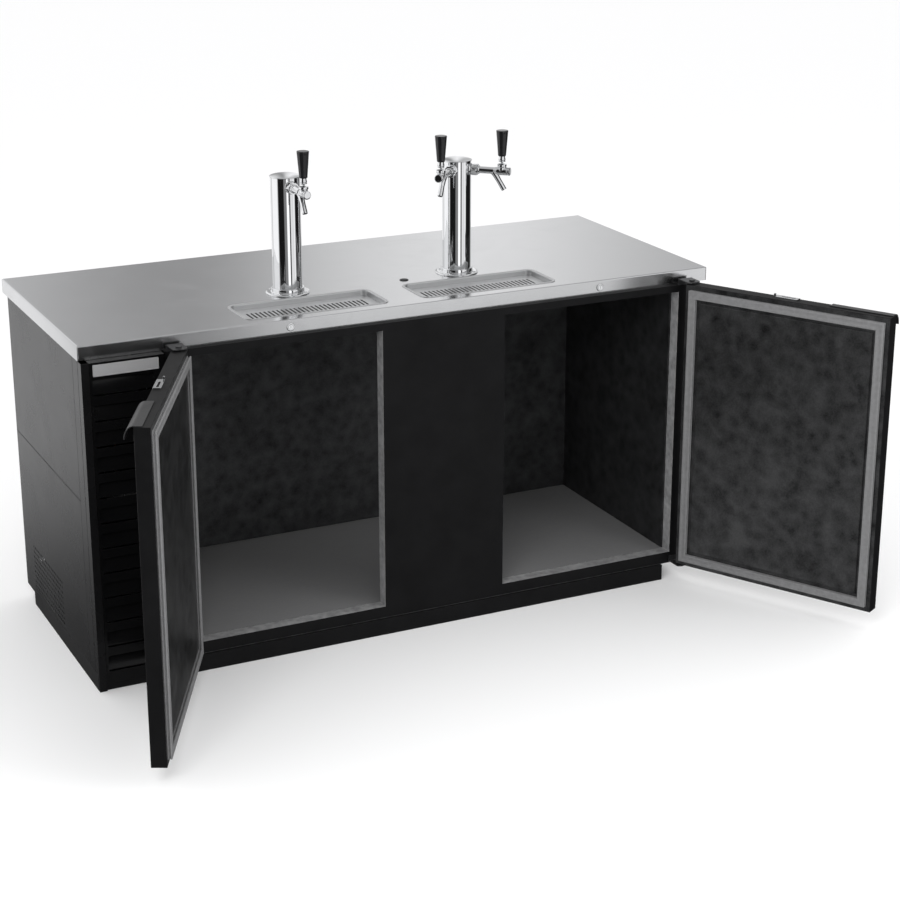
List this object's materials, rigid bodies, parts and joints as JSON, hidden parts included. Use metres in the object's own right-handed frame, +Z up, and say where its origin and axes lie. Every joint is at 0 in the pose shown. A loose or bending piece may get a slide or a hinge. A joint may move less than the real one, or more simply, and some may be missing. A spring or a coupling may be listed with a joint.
{
  "type": "kegerator",
  "caption": "Long two-door direct-draw beer cooler with a steel worktop, recessed drip trays, chrome tap towers and a louvred machine bay, standing with its doors open.",
  "frame": {"origin": "on the floor under the centre of the worktop", "axes": "+X to the right seen from the front, +Y to the back, +Z up; the doors face -Y"},
  "size_m": [2.134, 1.3386, 1.3316],
  "materials": {
    "black_paint": "semi-gloss, light orange peel",
    "stainless": "fine straight grain",
    "chrome": "mirror polish",
    "galvanised": "mottled zinc coat",
    "floor_grey": "plain satin",
    "jamb_grey": "mottled grey",
    "gasket": "soft matte",
    "foam": "rigid foam",
    "board": "plywood core",
    "handle_black": "moulded gloss",
    "plastic_black": "fine texture",
    "plastic_grey": "satin",
    "bare_steel": "plated",
    "fins": "rolled",
    "copper": "drawn",
    "plate_silver": "satin",
    "hose": "clear-white tube"
  },
  "bodies": {
    "cabinet": {"plinth": "black_paint", "corner_post": "black_paint", "base_deck": "galvanised", "side_panel_upper": "black_paint", "side_panel_lower": "black_paint", "louvre_panel": "black_paint", "name_plate": "plate_silver", "bay_back_panel": "black_paint", "front_frame": "black_paint", "outer_wrap": "black_paint", "insulation": "foam", "interior_liner": "galvanised", "interior_floor": "floor_grey", "jamb_strips": "jamb_grey", "air_duct_panel": "galvanised", "evaporator_housing": "galvanised", "evaporator_coil": "fins", "condenser_coil": "fins", "fan_shroud": "bare_steel", "compressor": "black_paint", "refrigerant_tubes": "copper", "control_box": "plastic_grey", "worktop_skin": "stainless", "worktop_core": "board", "hole_plug": "plastic_black", "drip_trays": "stainless", "lock_housings": "chrome", "hinge_brackets": "chrome", "tower_screws": "chrome", "tower_columns": "chrome", "tower_caps": "chrome", "beer_lines": "hose", "shanks": "chrome", "coupling_nuts": "chrome", "faucet_bodies": "chrome"},
    "left_door": {"left_door_shell": "black_paint", "left_door_foam": "foam", "left_door_liner": "galvanised", "left_door_gasket": "gasket", "left_door_handle": "plastic_black", "left_door_strike": "chrome"},
    "right_door": {"right_door_shell": "black_paint", "right_door_foam": "foam", "right_door_liner": "galvanised", "right_door_gasket": "gasket", "right_door_handle": "plastic_black", "right_door_strike": "chrome"},
    "left_tap": {"tap_lever_left": "chrome", "tap_handle_left": "handle_black"},
    "middle_tap": {"tap_lever_middle": "chrome", "tap_handle_middle": "handle_black"},
    "right_tap": {"tap_lever_right": "chrome", "tap_handle_right": "handle_black"},
    "left_lock": {"lock_plug_left": "chrome"},
    "left_grate": {"drip_grate_left": "stainless"},
    "right_lock": {"lock_plug_right": "chrome"},
    "right_grate": {"drip_grate_right": "stainless"},
    "condenser_fan": {"condenser_fan": "plastic_black"},
    "evaporator_fan": {"evaporator_fan": "plastic_black"},
    "thermostat_knob": {"thermostat_knob": "plastic_black"}
  },
  "joints": [
    {"name": "left_door_hinge", "type": "hinge", "parent": "cabinet", "child": "left_door", "pos_m": [-0.6685, -0.418, 0.478], "axis": [0, 0, 1], "range_deg": [-3.4, 116.6]},
    {"name": "right_door_hinge", "type": "hinge", "parent": "cabinet", "child": "right_door", "pos_m": [0.8355, -0.418, 0.478], "axis": [0, 0, -1], "range_deg": [-1.4, 118.6]},
    {"name": "left_tap_pull", "type": "hinge", "parent": "cabinet", "child": "left_tap", "pos_m": [-0.2535, -0.24, 1.229], "axis": [1, 0, 0], "range_deg": [0, 35]},
    {"name": "middle_tap_pull", "type": "hinge", "parent": "cabinet", "child": "middle_tap", "pos_m": [0.16087, -0.20163, 1.229], "axis": [0.7071, -0.7071, 0], "range_deg": [0, 35]},
    {"name": "right_tap_pull", "type": "hinge", "parent": "cabinet", "child": "right_tap", "pos_m": [0.34613, -0.20163, 1.229], "axis": [0.7071, 0.7071, 0], "range_deg": [0, 35]},
    {"name": "left_lock_turn", "type": "hinge", "parent": "cabinet", "child": "left_lock", "pos_m": [-0.35, -0.36, 0.9053], "axis": [0, 1, 0], "range_deg": [0, 90]},
    {"name": "right_lock_turn", "type": "hinge", "parent": "cabinet", "child": "right_lock", "pos_m": [0.567, -0.36, 0.9053], "axis": [0, 1, 0], "range_deg": [0, 90]},
    {"name": "condenser_fan_spin", "type": "hinge", "parent": "cabinet", "child": "condenser_fan", "pos_m": [-0.80365, -0.2503, 0.28], "axis": [0, 1, 0], "continuous": true},
    {"name": "evaporator_fan_spin", "type": "hinge", "parent": "cabinet", "child": "evaporator_fan", "pos_m": [-0.5767, 0.02, 0.745], "axis": [1, 0, 0], "continuous": true},
    {"name": "thermostat_turn", "type": "hinge", "parent": "cabinet", "child": "thermostat_knob", "pos_m": [-0.826, -0.362, 0.76], "axis": [0, 1, 0], "range_deg": [0, 270]},
    {"name": "left_grate_lift", "type": "slide", "parent": "cabinet", "child": "left_grate", "axis": [0, 0, 1], "range_m": [0, 0.12]},
    {"name": "right_grate_lift", "type": "slide", "parent": "cabinet", "child": "right_grate", "axis": [0, 0, 1], "range_m": [0, 0.12]}
  ]
}
